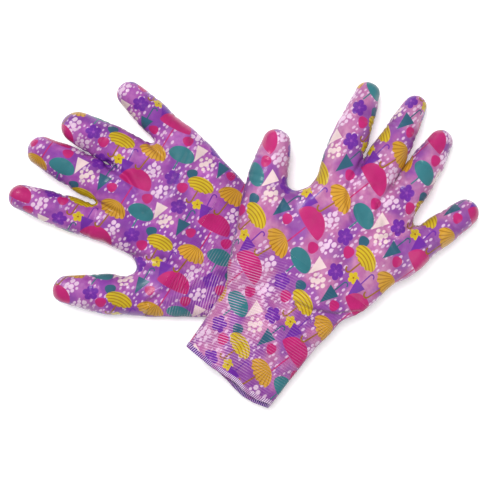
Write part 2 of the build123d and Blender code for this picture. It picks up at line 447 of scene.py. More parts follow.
def crease_depth(glove, p):
    """How deep the drawn folds press in, on the upper side."""
    total = np.zeros(len(p))
    for path, depth, width in glove["creases"]:
        # the distance to the fold's path, then a groove with a low swelling on each side
        best = np.full(len(p), 1e6)
        for a, b in zip(path, path[1:]):
            a, b = np.array(a), np.array(b)
            run = b - a
            t = np.clip((p[:, :2] - a) @ run / (run @ run), 0, 1)
            best = np.minimum(best, np.linalg.norm(p[:, :2] - a - t[:, None] * run, axis=1))
        wander = 1 + 0.35 * NOISE(p, 9.0)
        total += depth * wander * np.exp(-(best / (width * 0.5)) ** 2)
        total -= 0.45 * depth * wander * np.exp(-((best - width) / (width * 0.6)) ** 2)
    return total


def rumple(glove, shape, p, normals):
    """The points after the soft dents and folds of a worn knit glove."""
    fade = np.clip((p[:, 1] - HEEL_START + 6) / 18, 0.15, 1)
    # wide, middling and small dents
    lift = (0.75 * NOISE(p, 17.0) + 0.42 * NOISE_B(p, 8.0) + 0.13 * NOISE(p + 40, 4.0)) * fade
    upper = np.clip(normals[:, 2] * 2.5 - 0.2, 0, 1)
    lift -= crease_depth(glove, p) * upper
    for name in shape.digits:
        # two creases across the root and two across the knuckle
        root, knuckle = shape.marks(name)
        along = shape.travel(p, name)
        off = np.linalg.norm(p - root - along[:, None] * shape.axis(name), axis=1)
        near = np.clip((24 - off) / 8, 0, 1)
        for at, strength in ((2.0, 0.5), (np.linalg.norm(knuckle - root), 0.6)):
            gap = along - at + 1.4 * NOISE_B(p, 11.0)
            lift -= near * strength * (np.exp(-(gap / 1.5) ** 2) + 0.7 * np.exp(-((gap - 4.2) / 1.4) ** 2))
    return p + normals * lift[:, None]


def settle(p):
    """The points, pressed flat where they would sink into the floor."""
    out = p.copy()
    depth = (out[:, 2] - FLOOR_GAP) / FLOOR_EASE
    out[:, 2] = FLOOR_GAP + FLOOR_EASE * np.logaddexp(0, depth)
    return out


def print_coordinates(glove, p, normals):
    """Where each point lies on the printed cloth of its upper and of its lower side, in mm."""
    row = to_row(glove, p) / MM
    n = turn_to_row(glove, normals)
    flat = n[:, :2] / np.maximum(np.linalg.norm(n[:, :2], axis=1, keepdims=True), 1e-6)
    out = []
    for key, sign in (("print", 1), ("print_below", -1)):
        way = glove[key]
        tilt = np.arccos(np.clip(sign * n[:, 2], -1, 1))
        roll = ROLL_RADIUS * (tilt - np.sin(tilt))
        at = row[:, :2] + flat * roll[:, None] - np.array(way["at"])
        cloth = at @ np.linalg.inv(np.array([way["right"], way["up"]]))
        out.append(np.column_stack([cloth, n[:, 2]]))
    return out


def course_coordinate(p):
    """How far along the knitting a point is. The rows slope at the thumb's side."""
    slope = np.logaddexp(0, (-5 - p[:, 0]) / 4) * 4
    return p[:, 1] + 0.3 * slope


# ---- building objects


def link_object(name, data):
    obj = bpy.data.objects.new(name, data)
    bpy.context.scene.collection.objects.link(obj)
    return obj


def write_fields(mesh, fields):
    """Point attributes from arrays of numbers or of vectors."""
    for key, values in fields.items():
        vector = values.ndim == 2
        made = mesh.attributes.new(key, "FLOAT_VECTOR" if vector else "FLOAT", "POINT")
        made.data.foreach_set("vector" if vector else "value", values.astype(np.float32).ravel())


def read_field(mesh, key, vector):
    data = np.zeros(len(mesh.vertices) * (3 if vector else 1), np.float32)
    mesh.attributes[key].data.foreach_get("vector" if vector else "value", data)
    return data.reshape(-1, 3) if vector else data


def new_mesh(name, verts, faces, fields, normals, materials):
    """An object from points in the row frame, with its own normals and point attributes."""
    mesh = bpy.data.meshes.new(name)
    mesh.from_pydata(verts.tolist(), [], faces)
    write_fields(mesh, fields)
    mesh.polygons.foreach_set("use_smooth", [True] * len(mesh.polygons))
    mesh.update()
    if normals is not None:
        mesh.normals_split_custom_set_from_vertices(normals.tolist())
    for made in materials:
        mesh.materials.append(made)
    return link_object(name, mesh)


def cut_mesh(verts, quads, fields, cuts):
    """Cuts a mesh with planes, each given as a point, a direction and the name of a field or None.
    What lies beyond a plane in its direction goes, but only faces where its field is mostly 1."""
    mesh = bpy.data.meshes.new("cutting")
    mesh.from_pydata(verts.tolist(), [], quads.tolist())
    write_fields(mesh, fields)
    work = bmesh.new()
    work.from_mesh(mesh)
    for point, direction, mark in cuts:
        layer = work.verts.layers.float.get(mark) if mark else None

        def chosen(face):
            return layer is None or sum(v[layer] for v in face.verts) > 0.5 * len(face.verts)

        faces = [f for f in work.faces if chosen(f)]
        edges = {e for f in faces for e in f.edges}
        points = {v for f in faces for v in f.verts}
        bmesh.ops.bisect_plane(work, geom=[*points, *edges, *faces], dist=1e-5,
                               plane_co=point.tolist(), plane_no=direction.tolist())
        gone = [f for f in work.faces if chosen(f)
                and (np.array(f.calc_center_median()) - point) @ direction > 0]
        bmesh.ops.delete(work, geom=gone, context="FACES")
    work.to_mesh(mesh)
    work.free()
    out = np.zeros(len(mesh.vertices) * 3)
    mesh.vertices.foreach_get("co", out)
    kept = {key: read_field(mesh, key, values.ndim == 2) for key, values in fields.items()}
    faces = [tuple(f.vertices) for f in mesh.polygons]
    bpy.data.meshes.remove(mesh)
    return out.reshape(-1, 3), biggest_part(len(out) // 3, faces), kept


def biggest_part(count, faces):
    """Drops loose bits: keeps the connected part with the most faces."""
    parent = np.arange(count)
    edges = np.array([(a, b) for f in faces for a, b in zip(f, f[1:])])
    while True:
        before = parent.copy()
        low = np.minimum(parent[edges[:, 0]], parent[edges[:, 1]])
        np.minimum.at(parent, edges[:, 0], low)
        np.minimum.at(parent, edges[:, 1], low)
        parent = parent[parent]
        if np.array_equal(before, parent):
            break
    first = np.array([parent[f[0]] for f in faces])
    main = np.bincount(first).argmax()
    return [f for f, p in zip(faces, first) if p == main]


def thicken(verts, faces, flat_normal, normals):
    """A shell: the skin, its inner side, and rims along the open edges."""
    used = np.unique([i for f in faces for i in f])
    new = np.full(len(verts), -1)
    new[used] = np.arange(len(used))
    verts, flat_normal, normals = verts[used], flat_normal[used], normals[used]
    faces = [tuple(new[list(f)].tolist()) for f in faces]
    n = len(verts)
    edges = dict.fromkeys((a, b) for f in faces for a, b in zip(f, f[1:] + f[:1]))
    rims = [(b, a, a + n, b + n) for a, b in edges if (b, a) not in edges]
    inner = [tuple(i + n for i in reversed(f)) for f in faces]
    sides = np.repeat([0, 1], [len(faces), len(inner) + len(rims)])
    return (np.concatenate([verts, verts - normals * WALL]), faces + inner + rims,
            np.concatenate([flat_normal, flat_normal]), np.concatenate([normals, -normals]), sides)


def skin_object(glove, name, verts, faces, flat_normal, normals, materials):
    """A printed shell. Its rib field is where pale courses show: most at the thumb's side of the
    wrist, and not at all under the dip."""
    verts, faces, flat_normal, normals, sides = thicken(verts, faces, flat_normal, normals)
    top, below = print_coordinates(glove, verts, flat_normal)
    rib = np.clip((20 - verts[:, 0]) / 34, 0.2, 1) * np.clip((27 - verts[:, 1]) / 26, 0, 1)
    fields = {"print_top": top, "print_below": below, "course": course_coordinate(verts), "rib": rib}
    obj = new_mesh(name, to_row(glove, verts), faces, fields, turn_to_row(glove, normals), materials)
    obj.data.polygons.foreach_set("material_index", sides)
    return obj


# ---- shader nodes


def linear(r, g, b):
    """Display colour, 0 to 255, as linear colour."""
    parts = (c / 255 for c in (r, g, b))
    return (*(c / 12.92 if c < 0.04 else ((c + 0.055) / 1.055) ** 2.4 for c in parts), 1.0)


def set_inputs(tree, node, inputs):
    """Links a node's inputs, given by name or by number, or sets them to constants."""
    for key, item in inputs.items():
        if isinstance(item, Socket):
            item = item.value
        if isinstance(item, bpy.types.NodeSocket):
            tree.links.new(item, node.inputs[key])
        else:
            node.inputs[key].default_value = item


def add_node(tree, kind, inputs, **settings):
    made = tree.nodes.new("ShaderNode" + kind)
    for key, value in settings.items():
        setattr(made, key, value)
    set_inputs(tree, made, inputs)
    return made


class Socket:
    """Arithmetic that adds maths nodes to a tree."""

    def __init__(self, tree, value):
        self.tree, self.value = tree, value

    def node(self, operation, *others):
        inputs = dict(enumerate((self, *others)))
        return Socket(self.tree, add_node(self.tree, "Math", inputs, operation=operation).outputs[0])

    __add__ = partialmethod(node, "ADD")
    __sub__ = partialmethod(node, "SUBTRACT")
    __mul__ = partialmethod(node, "MULTIPLY")
    __gt__ = partialmethod(node, "GREATER_THAN")
    most = partialmethod(node, "MAXIMUM")
    least = partialmethod(node, "MINIMUM")
    size = partialmethod(node, "ABSOLUTE")
    sine = partialmethod(node, "SINE")
    power = partialmethod(node, "POWER")

    def below(self, edge, soft=0.35):
        """1 where the value is under edge, 0 over it, with a soft step."""
        inputs = {0: self, 1: edge + soft / 2, 2: edge - soft / 2}
        made = add_node(self.tree, "MapRange", inputs, interpolation_type="SMOOTHSTEP")
        return Socket(self.tree, made.outputs[0])


def vector_node(tree, operation, *inputs):
    return add_node(tree, "VectorMath", dict(enumerate(inputs)), operation=operation).outputs[0]


def split(tree, vector):
    """A vector's three parts."""
    return [Socket(tree, part) for part in add_node(tree, "SeparateXYZ", {0: vector}).outputs]


def length_from(tree, vector, x, y, stretch=(1, 1)):
    """Distance in the plane from a point, with each axis stretched."""
    moved = vector_node(tree, "SUBTRACT", vector, (x, y, 0))
    scaled = vector_node(tree, "MULTIPLY", moved, (*stretch, 0))
    return Socket(tree, add_node(tree, "VectorMath", {0: scaled}, operation="LENGTH").outputs["Value"])


def mix_colour(tree, factor, a, b):
    return add_node(tree, "Mix", {0: factor, 6: a, 7: b}, data_type="RGBA").outputs[2]


def noise_node(tree, vector, scale, detail, dimensions="3D"):
    inputs = {"Vector": vector, "Scale": scale, "Detail": detail}
    return Socket(tree, add_node(tree, "TexNoise", inputs, noise_dimensions=dimensions).outputs[0])


def stored(tree, name, output="Fac"):
    """A field stored on the mesh, as its number or as its vector."""
    value = add_node(tree, "Attribute", {}, attribute_name=name).outputs[output]
    return Socket(tree, value) if output == "Fac" else value


# ---- the print

TEAL = linear(50, 118, 128)
DARK_TEAL = linear(44, 92, 116)
MAGENTA = linear(190, 30, 112)
PURPLE = linear(110, 36, 158)
YELLOW = linear(206, 178, 28)
GOLD = linear(208, 154, 44)
OCHRE = linear(152, 98, 14)
CREAM = linear(234, 208, 208)
VIOLET = linear(150, 72, 176)
DROP = linear(230, 196, 224)
PATCH = linear(120, 48, 156)


def wrapped(tree, cloth, x, y, turn):
    """The cloth's coordinates round one motif of the repeat, in mm, turned to stand upright."""
    half = (TILE[0] / 2, TILE[1] / 2, 1)
    at = vector_node(tree, "SUBTRACT", cloth, (x, y, 0))
    at = vector_node(tree, "WRAP", at, half, tuple(-c for c in half))
    if turn:
        at = add_node(tree, "Mapping", {0: at, "Rotation": (0, 0, math.radians(turn))}).outputs[0]
    return at


def dome(tree, at, radius, rise, drop, scallops=0):
    """An umbrella top's mask: two half ovals that reach rise and drop times the radius up and down,
    the lower one scalloped."""
    x, y = split(tree, at)[:2]
    bitten = y
    if scallops:
        arcs = (x * (math.pi * scallops / 2 / radius)).sine().size()
        bitten = y - (arcs * -1 + 1) * (radius * 0.12)
    high = y.most(0.0) * (1 / rise) + bitten.least(0.0) * (1 / drop)
    return (high * high + x * x).power(0.5).below(radius)


def umbrella(tree, base, at, radius, rise, drop, fill, line, stripes):
    """An open umbrella with a stick and a curled handle."""
    x, y = split(tree, at)[:2]
    stick = (x - 0.2).size().below(radius * 0.055, 0.3) * (y + radius * 0.7).size().below(radius * 0.62)
    curl = length_from(tree, at, -radius * 0.17, -radius * 1.3) - radius * 0.19
    hook = curl.size().below(radius * 0.06, 0.3) * y.below(-radius * 1.28)
    out = mix_colour(tree, stick.most(hook), base, line)
    if stripes == "ribs":
        lines = (x.node("ARCTAN2", y * -1 + radius) * 29.0).sine().below(-0.62, 0.6)
    else:
        lines = (length_from(tree, at, 0, -radius * 1.5) * (2 * math.pi / 2.1)).sine().below(-0.5, 0.7)
    fill = mix_colour(tree, lines * 0.75, fill, line)
    return mix_colour(tree, dome(tree, at, radius, rise, drop, 5), out, fill)


def plain_dome(tree, base, at, radius, rise, drop, fill, stick):
    """An umbrella of one colour with a straight stick."""
    x, y = split(tree, at)[:2]
    rod = x.size().below(0.45, 0.3) * (y + stick / 2 + radius * 0.2).size().below(stick / 2)
    return mix_colour(tree, dome(tree, at, radius, rise, drop), mix_colour(tree, rod, base, fill), fill)


def pebbles(tree, base, at, fill, turn):
    """A cluster of rounded pebbles: seven in a ring and a larger one in the middle."""
    for k in range(8):
        angle = turn + k * 0.9
        away = 0 if k == 7 else 3.6 + 0.7 * math.cos(2.3 * k)
        size = 1.7 if k == 7 else 1.2 + 0.35 * math.sin(1.9 * k + turn)
        x, y = away * math.cos(angle), away * math.sin(angle) * 1.1
        pebble = length_from(tree, at, x, y, (1.0, 0.85)).below(size, 0.5)
        base = mix_colour(tree, pebble, base, fill)
    return base


def flower(tree, base, at, radius, fill, heart):
    """Five round petals."""
    x, y = split(tree, at)[:2]
    turn = x.node("ARCTAN2", y)
    petals = (turn * 2.5).sine().size().power(0.6) * (radius * 0.4) + radius * 0.62
    away = length_from(tree, at, 0, 0)
    out = mix_colour(tree, (away - petals).below(0.0), base, fill)
    veins = (turn * 5.0 + 1.57).sine().below(-0.9, 0.15) * away.below(radius * 0.55)
    out = mix_colour(tree, veins * 0.5, out, heart)
    return mix_colour(tree, away.below(radius * 0.17), out, heart)


def wedge(tree, base, at, height, width, fill, handle):
    """A closed umbrella: a wedge with its point down and, if wanted, a curled handle above."""
    x, y = split(tree, at)[:2]
    sides = (x.size() - (y + height / 2) * (width / 2 / height)).below(0.0)
    mask = sides * y.below(height / 2)
    if handle:
        rod = x.size().below(0.42, 0.3) * (y - height * 0.8).size().below(height * 0.32)
        curl = (length_from(tree, at, 1.5, height * 1.12) - 1.5).size()
        hook = curl.below(0.42, 0.3) * (y > height * 1.12)
        base = mix_colour(tree, rod.most(hook), base, fill)
    return mix_colour(tree, mask, base, fill)


def dot(tree, base, at, radius, fill):
    """A slightly uneven dot."""
    x, y = split(tree, at)[:2]
    wobble = (x.node("ARCTAN2", y) * 3.0).sine() * (radius * 0.07) + radius
    return mix_colour(tree, (length_from(tree, at, 0, 0) - wobble).below(0.0), base, fill)


# the repeat, drawn in this order: a motif, its place in mm, its turn in degrees, its own measures
MOTIFS = (
    (pebbles, 17.2, 3.6, 0, (CREAM, 0.3)),
    (pebbles, 2.6, 19.0, 0, (DROP, 1.1)),
    (pebbles, -9.0, -19.0, 0, (DROP, 2.0)),
    (wedge, 9.6, 6.4, -3, (11.8, 8.4, CREAM, False)),
    (flower, 4.2, -16.0, 0, (5.2, PURPLE, VIOLET)),
    (flower, 18.6, 16.4, 20, (5.2, PURPLE, VIOLET)),
    (flower, 28.2, -23.4, 10, (3.7, YELLOW, OCHRE)),
    (dot, -1.6, 10.8, 0, (3.5, MAGENTA)),
    (dot, 13.4, -18.5, 0, (3.6, MAGENTA)),
    (dot, -25.4, 5.4, 0, (3.3, MAGENTA)),
    (dot, 13.5, -7.2, 0, (3.5, DARK_TEAL)),
    (wedge, 28.3, 4.2, -4, (12.0, 9.0, DARK_TEAL, True)),
    (wedge, -26.0, 20.4, -8, (12.5, 8.6, PURPLE, True)),
    (plain_dome, 0.4, -0.2, -4, (8.9, 0.74, 0.5, TEAL, 9.0)),
    (plain_dome, -14.7, 15.2, -3, (11.3, 0.93, 0.17, MAGENTA, 15.0)),
    (umbrella, -16.8, -8.4, 3, (9.7, 0.78, 0.4, GOLD, OCHRE, "ribs")),
    (umbrella, 22.7, -11.4, -4, (9.2, 0.64, 0.5, YELLOW, OCHRE, "arcs")),
)


def garden_print(glove):
    """The allover print, as a group from cloth mm to colour."""
    tree = bpy.data.node_groups.new("garden_print_" + glove["name"], "ShaderNodeTree")
    tree.interface.new_socket("Cloth", in_out="INPUT", socket_type="NodeSocketVector")
    tree.interface.new_socket("Color", in_out="OUTPUT", socket_type="NodeSocketColor")
    cloth = tree.nodes.new("NodeGroupInput").outputs[0]

    # the ground: small clouds of two tones, and wide patches
    dark, pale = (linear(*c) for c in glove["ground"])
    out = mix_colour(tree, noise_node(tree, cloth, 0.16, 3.0).below(0.52, 0.34), pale, dark)
    shade = (noise_node(tree, cloth, 0.04, 2.0).below(0.51, 0.13) * -1 + 1) * 0.72
    out = mix_colour(tree, shade, out, PATCH)

    # drops: one in each long cell, where the cells' own noise lets them show
    stretched = vector_node(tree, "MULTIPLY", cloth, (1.0, 0.6, 1.0))
    inputs = {"Vector": stretched, "Scale": 0.34, "Randomness": 0.8}
    cells = add_node(tree, "TexVoronoi", inputs, voronoi_dimensions="2D")
    size = split(tree, cells.outputs["Color"])[0] * 0.18 + 0.15
    drops = (Socket(tree, cells.outputs["Distance"]) - size).below(0.0, 0.14)
    shown = noise_node(tree, cells.outputs["Position"], 0.085, 0.0, "2D").below(0.53, 0.02)
    out = mix_colour(tree, drops * shown * 0.8, out, DROP)

    for draw, x, y, turn, measures in MOTIFS:
        out = draw(tree, out, wrapped(tree, cloth, x, y, turn), *measures)
    tree.links.new(out, tree.nodes.new("NodeGroupOutput").inputs[0])
    return tree


def cloth_colour(tree, group):
    """The print at a point, with a pale line where the upper and the lower side's prints meet, and
    the point's place on the cloth."""
    top = stored(tree, "print_top", "Vector")
    facing = split(tree, top)[2]
    sides = {0: facing > 0.0, 4: stored(tree, "print_below", "Vector"), 5: top}
    cloth = add_node(tree, "Mix", sides, data_type="VECTOR").outputs[1]
    cloth = vector_node(tree, "MULTIPLY", cloth, (1, 1, 0))
    pattern = add_node(tree, "Group", {}, node_tree=group)
    tree.links.new(cloth, pattern.inputs[0])
    seam = facing.size().below(0.025, 0.04) * 0.55
    return mix_colour(tree, seam, pattern.outputs[0], linear(228, 176, 216)), cloth


# ---- materials


def new_material(name):
    made = bpy.data.materials.new(name)
    made.use_nodes = True
    tree = made.node_tree
    tree.nodes.clear()
    shader = add_node(tree, "BsdfPrincipled", {})
    add_node(tree, "OutputMaterial", {0: shader.outputs[0]})
    return made, tree, shader


def bump(tree, height, distance, strength):
    inputs = {"Height": height, "Distance": distance, "Strength": strength}
    return add_node(tree, "Bump", inputs).outputs[0]


def knit_height(tree, cloth, wale, course):
    """Rows of small loops."""
    x, y = split(tree, cloth)[:2]
    across = (x * (math.pi / wale)).sine().size()
    legs = (y * (2 * math.pi / course) + across * 2.0).sine()
    return across * 0.6 + legs * 0.4


def tint(tree, colour, cloth, scale, low, high):
    """A colour with slow changes of brightness over the cloth, and the noise behind them."""
    cloud = noise_node(tree, cloth, scale, 4.0)
    share = add_node(tree, "MapRange", {0: cloud, 1: 0.3, 2: 0.7, 3: low, 4: high}).outputs[0]
    inputs = {0: colour, "Scale": share}
    return add_node(tree, "VectorMath", inputs, operation="SCALE").outputs[0], cloud


def dipped_print(glove, group):
    """The printed knit under its thin clear gloss."""
    made, tree, shader = new_material(glove["name"] + "_dipped_print")
    colour, cloth = cloth_colour(tree, group)
    colour, cloud = tint(tree, colour, cloth, 0.07, *glove["brightness"])
    relief = knit_height(tree, cloth, 0.95, 1.25) * 0.5 + cloud
    set_inputs(tree, shader, {
        "Base Color": colour, "Roughness": cloud * 0.25 + 0.36, "Coat Weight": 0.5,
        "Coat Roughness": 0.2, "Coat IOR": 1.45, "Normal": bump(tree, relief, 0.00012, 0.35)})
    return made


def knit_print(glove, group):
    """The printed knit of the heel and the cuff, with broken pale courses."""
    made, tree, shader = new_material(glove["name"] + "_knit_print")
    colour, cloth = cloth_colour(tree, group)
    rows = (stored(tree, "course") * (2 * math.pi / COURSE_PITCH)).sine().below(-0.66, 0.5)
    pale = rows * noise_node(tree, cloth, 0.09, 3.0).below(0.56, 0.22) * stored(tree, "rib")
    colour = mix_colour(tree, pale * 0.72, colour, linear(236, 190, 226))
    set_inputs(tree, shader, {
        "Base Color": tint(tree, colour, cloth, 0.07, *glove["brightness"])[0], "Roughness": 0.78,
        "Sheen Weight": 0.25, "Sheen Roughness": 0.4,
        "Normal": bump(tree, knit_height(tree, cloth, 0.8, 1.1), 0.00022, 0.6)})
    return made


def knit_inside(glove):
    """The pale, unprinted inner side."""
    made, tree, shader = new_material(glove["name"] + "_knit_inside")
    cloth = stored(tree, "print_top", "Vector")
    base = add_node(tree, "RGB", {}).outputs[0]
    base.default_value = linear(236, 226, 234)
    set_inputs(tree, shader, {
        "Base Color": tint(tree, base, cloth, 0.35, 0.88, 1.03)[0], "Roughness": 0.9,
        "Sheen Weight": 0.3, "Normal": bump(tree, knit_height(tree, cloth, 0.8, 1.1), 0.00025, 0.7)})
    return made


def hem_thread(glove):
    """Slanting stitches: violet round the hem, pale on the upper layer away from the thumb."""
    made, tree, shader = new_material(glove["name"] + "_hem_thread")
    cloth = stored(tree, "print_top", "Vector")
    wave = (stored(tree, "stitch") * (2 * math.pi) + stored(tree, "course") * 1.1).sine()
    dark = mix_colour(tree, wave.below(-0.45, 0.6), linear(66, 30, 124), linear(206, 168, 212))
    light = mix_colour(tree, wave.below(-0.2, 0.8), linear(150, 104, 160), linear(240, 222, 232))
    colour = mix_colour(tree, stored(tree, "upper") * 0.65, dark, light)
    patches = noise_node(tree, cloth, 0.12, 2.0).below(0.47, 0.15)
    set_inputs(tree, shader, {
        "Base Color": mix_colour(tree, patches * 0.5, colour, linear(150, 50, 140)), "Roughness": 0.7,
        "Sheen Weight": 0.3, "Normal": bump(tree, wave, 0.0002, 0.7)})
    return made


def elastic_yarn(glove):
    """Twisted covered yarn."""
    made, tree, shader = new_material(glove["name"] + "_elastic_yarn")
    place = add_node(tree, "TexCoord", {}).outputs["Object"]
    wave = add_node(tree, "TexWave", {"Vector": place, "Scale": 900.0}, bands_direction="DIAGONAL")
    twist = Socket(tree, wave.outputs["Fac"])
    set_inputs(tree, shader, {
        "Base Color": mix_colour(tree, twist, linear(214, 200, 214), linear(240, 232, 240)),
        "Roughness": 0.55, "Normal": bump(tree, twist, 0.0001, 0.5)})
    return made


def make_materials(glove):
    group = garden_print(glove)
    return {"dipped": dipped_print(glove, group), "knit": knit_print(glove, group),
            "inside": knit_inside(glove), "hem": hem_thread(glove), "yarn": elastic_yarn(glove)}


# ---- the pieces


def body_nodes(body):
    return list(frame["record"]["behaviour"]["bodies"][body])


def grid_of(shape, low, high):
    """The fields of the palm with each digit, on a grid whose points all pieces of a glove share."""
    low = np.floor(np.array(low) / GRID) * GRID
    count = np.ceil((np.array(high) - low) / GRID).astype(int) + 1
    axes = [low[k] + GRID * np.arange(count[k]) for k in range(3)]
    points = np.stack(np.meshgrid(*axes, indexing="ij"), -1).reshape(-1, 3)
    return low, tuple(count), points, shape.joined(points)


def finish_skin(glove, shape, verts, quads):
    """The points after folds and settling, and the normals before and after as fields."""
    verts = relax(verts, quads, 2, 0.5)
    flat_normal = face_normals(verts, quads)
    moved = settle(rumple(glove, shape, verts, flat_normal))
    return moved, {"flat_normal": flat_normal, "own_normal": face_normals(moved, quads)}


def make_digit(glove, shape, name, materials):
    """The two pieces of a digit: root to knuckle, and the fingertip."""
    side = glove["name"]
    cut_root, root_end, cut_knuckle, knuckle_end = shape.zones[name]
    part = shape.lines[name][-1 - 3 * LINE_STEPS:, :3]
    low, count, points, joined = grid_of(shape, part.min(0) - 17, part.max(0) + 17)
    field = np.maximum(joined[name], cut_root - 4 - shape.travel(points, name))
    verts, quads = surface_net(field.reshape(count), low, GRID)
    verts, fields = finish_skin(glove, shape, verts, quads)
    axis = shape.axis(name)
    root_point, knuckle_point = shape.station(name, cut_root), shape.station(name, cut_knuckle)
    for label, cuts, pair, zone in (
        ("base", [(root_point, -axis, None), (knuckle_point, axis, None)],
         (f"{side}_hand", f"{side}_{name}_base"), (cut_root, root_end)),
        ("tip", [(knuckle_point, -axis, None)],
         (f"{side}_{name}_base", f"{side}_{name}_tip"), (cut_knuckle, knuckle_end)),
    ):
        v, f, kept = cut_mesh(verts, quads, fields, cuts)
        obj = skin_object(glove, f"{side}_glove_{name}_{label}", v, f, kept["flat_normal"],
                          kept["own_normal"], [materials["dipped"], materials["inside"]])
        start, end = (to_row(glove, shape.station(name, z)[None])[0] for z in zone)
        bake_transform(obj)
        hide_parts(*body_nodes(f"{side}_{name}_{label}"))


def make_hand(glove, shape, materials):
    """The dipped hand up to the digits' roots. Gives the hand's whole field, which the heel follows."""
    side = glove["name"]
    roots = np.array([shape.marks(name)[0] for name in shape.digits])
    heights = np.array([shape.lines[name][:2 * LINE_STEPS, 2] for name in shape.digits])
    low = (min(shape.lines["thumb"][:, 0].min() - 16, -50), HEEL_START - 5, heights.min() - 18)
    high = (roots[:, 0].max() + 30, roots[:, 1].max() + 34, heights.max() + 18)
    low, count, points, joined = grid_of(shape, low, high)
    hand = np.full(len(points), 50.0)
    for name in shape.digits:
        own = np.maximum(joined[name], shape.travel(points, name) - shape.zones[name][0] - 2)
        hand = smooth_min(hand, own, 0.8)
    hand = hand.reshape(count)
    verts, quads = surface_net(hand, low, GRID)
    verts, fields = finish_skin(glove, shape, verts, quads)

    # the dip's edge, and each digit's cut, which only touches the skin nearest to that digit
    nearest = np.argmin(list(shape.tubes(verts).values()), 0)
    cuts = [(np.array([0, DIP_LINE, 0.0]), DOWN, None)]
    for i, name in enumerate(shape.digits):
        fields[f"near_{name}"] = (nearest == i).astype(float)
        cuts.append((shape.station(name, shape.zones[name][0]), shape.axis(name), f"near_{name}"))
    v, f, kept = cut_mesh(verts, quads, fields, cuts)
    obj = skin_object(glove, f"{side}_glove_hand_dipped", v, f, kept["flat_normal"], kept["own_normal"],
                      [materials["dipped"], materials["inside"]])
    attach(obj, f"{side}_hand")
    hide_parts(*[n for n in body_nodes(f"{side}_hand") if n.endswith("hand_dip")])

    def whole_hand(p):
        inside = np.all((p >= low) & (p <= low + GRID * (np.array(count) - 1)), axis=1)
        return np.where(inside, sample(hand, low, GRID, p), 5.0)

    return whole_hand


def ring_angles(shape, count):
    """Angles that space points evenly round the flat oval of the cuff, and the way round it."""
    fine = np.linspace(0, 2 * np.pi, 4000, endpoint=False)
    left, right, _, half = (x[0] for x in shape.section(np.array([-20.0])))
    n = OUTLINE_POWER
    width = (right - left) / 2
    radius = (np.abs(np.cos(fine) / width) ** n + np.abs(np.sin(fine) / half) ** n) ** (-1 / n)
    x, y = radius * np.cos(fine), radius * np.sin(fine)
    steps = np.hypot(np.diff(x, append=x[0]), np.diff(y, append=y[0]))
    run = np.concatenate([[0], np.cumsum(steps)])
    even = np.linspace(0, run[-1], count, endpoint=False)
    return np.interp(even, run, np.append(fine, 2 * np.pi)), run[-1]


def ray_to_skin(shape, field, angles, v):
    """Points where a field ends, at each angle round the hand's middle and in the plane of each v."""
    centre = shape.middle(v)
    way = np.stack([np.cos(angles), np.zeros(len(v)), np.sin(angles)], 1)
    near, far = np.full(len(v), 3.0), np.full(len(v), 75.0)
    for _ in range(16):  # each round halves the stretch in which the skin lies
        halfway = (near + far) / 2
        inside = field(centre + way * halfway[:, None]) < 0
        near, far = np.where(inside, halfway, near), np.where(inside, far, halfway)
    return centre + way * near[:, None]


def tube_faces(rows, count, closed=False):
    """Quads between rings of points, and from the last ring to the first if the tube is closed."""
    i, j = np.meshgrid(np.arange(rows if closed else rows - 1), np.arange(count), indexing="ij")
    here, there, after = i * count, (i + 1) % rows * count, (j + 1) % count
    return np.stack([here + j, here + after, there + after, there + j], -1).reshape(-1, 4)


def facing_out(quads, p, middle):
    """The quads, all turned over if they face the middle."""
    inward = np.mean((face_normals(p, quads) * (p - middle)).sum(1)) < 0
    return quads[:, ::-1] if inward else quads


def sleeve(shape, field, angles, v):
    """Points, outward quads and normals of rings round the hand, one ring after the other."""
    rows = len(v) // len(angles)
    p = ray_to_skin(shape, field, np.tile(angles, rows), v)
    quads = facing_out(tube_faces(rows, len(angles)), p, shape.middle(v))
    return p, quads, face_normals(p, quads)


def mouth_edge(glove, u, upper):
    """Where the cuff ends at each place across, on its upper and its lower layer."""
    low = np.array(glove["mouth_low"], float)
    lift = np.array(glove["mouth_lift"], float)
    return np.interp(u, low[:, 0], low[:, 1]) + upper * np.interp(u, lift[:, 0], lift[:, 1])


def ridges(p, normals, amount):
    """Knitted ribs as real relief."""
    phase = course_coordinate(p) * (2 * np.pi / COURSE_PITCH)
    wave = np.abs(np.cos(phase / 2 + 0.25 * np.pi)) ** 0.8
    height = RIDGE * (wave - 0.6) * amount * (1 + 0.4 * NOISE(p, 6.0))
    return p + normals * height[:, None]


def cuff_sway(p, normals):
    """Slow waves round the cuff, larger towards its mouth."""
    share = np.clip((HEEL_START + 6 - p[:, 1]) / 50, 0, 1)
    wave = 0.9 * np.sin(p[:, 0] / 7.5 + 1.3 * np.sign(p[:, 2] - 20)) + 0.8 * NOISE(p, 14.0)
    return p + normals * (share * wave)[:, None]


def knit_object(glove, name, moved, quads, flat_normal, materials):
    faces = [tuple(f) for f in quads.tolist()]
    return skin_object(glove, name, moved, faces, flat_normal, face_normals(moved, quads),
                       [materials["knit"], materials["inside"]])


def make_heel(glove, shape, field, angles, materials):
    """The heel of the hand, knitted and not dipped. Gives its last ring, where the cuff starts."""
    side = glove["name"]
    rows = int((DIP_LINE - HEEL_START) / RING_STEP) + 1
    v = np.repeat(np.linspace(DIP_LINE, HEEL_START, rows), len(angles))
    p, quads, flat_normal = sleeve(shape, field, angles, v)
    moved = settle(rumple(glove, shape, p, flat_normal))
    moved = ridges(moved, flat_normal, np.clip((20 - v) / 16, 0, 1))
    heel = knit_object(glove, f"{side}_glove_heel", moved, quads, flat_normal, materials)
    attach(heel, f"{side}_hand")
    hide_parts(*[n for n in body_nodes(f"{side}_hand") if n.endswith("hand_liner")])
    return moved[-len(angles):]


